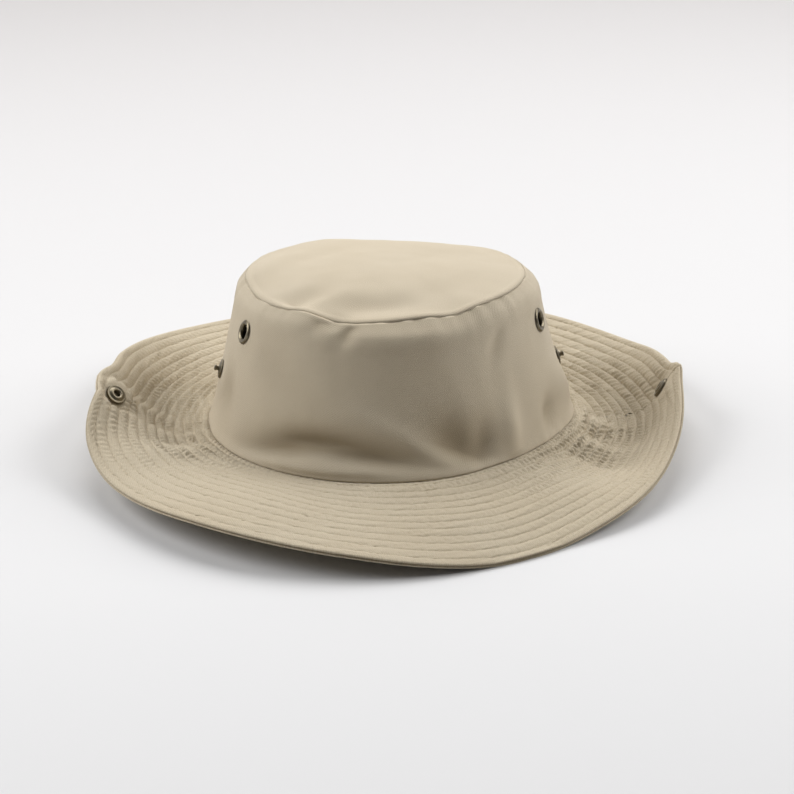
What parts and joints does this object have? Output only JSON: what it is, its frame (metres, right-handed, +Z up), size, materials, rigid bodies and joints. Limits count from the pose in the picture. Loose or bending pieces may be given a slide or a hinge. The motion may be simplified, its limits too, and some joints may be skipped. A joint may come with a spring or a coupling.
{
  "type": "soft sun hat with a press-stud brim",
  "caption": "Soft cotton twill sun hat with a domed oval crown, vent eyelets and a row-stitched brim whose sides fasten up to the crown with press studs.",
  "frame": {"origin": "on the surface that the hat lies on, under the middle of its outline", "axes": "+Z up from that surface, -Y towards the hat's front, +X towards the side seam on the right of the picture"},
  "size_m": [0.299, 0.3166, 0.0878],
  "materials": {
    "crown_cloth": "beige cotton twill, matt",
    "brim_cloth": "beige cotton twill in two plies, stitched in rows",
    "fittings": "antique brass plate, worn satin"
  },
  "bodies": {
    "root": {"crown_tip": "crown_cloth", "crown_side": "crown_cloth", "brim_front": "brim_cloth", "brim_back": "brim_cloth", "eyelet_front_left": "fittings", "eyelet_front_right": "fittings", "eyelet_back_left": "fittings", "eyelet_back_right": "fittings", "stud_left": "fittings", "stud_right": "fittings", "socket_left": "fittings", "socket_right": "fittings"}
  },
  "joints": []
}
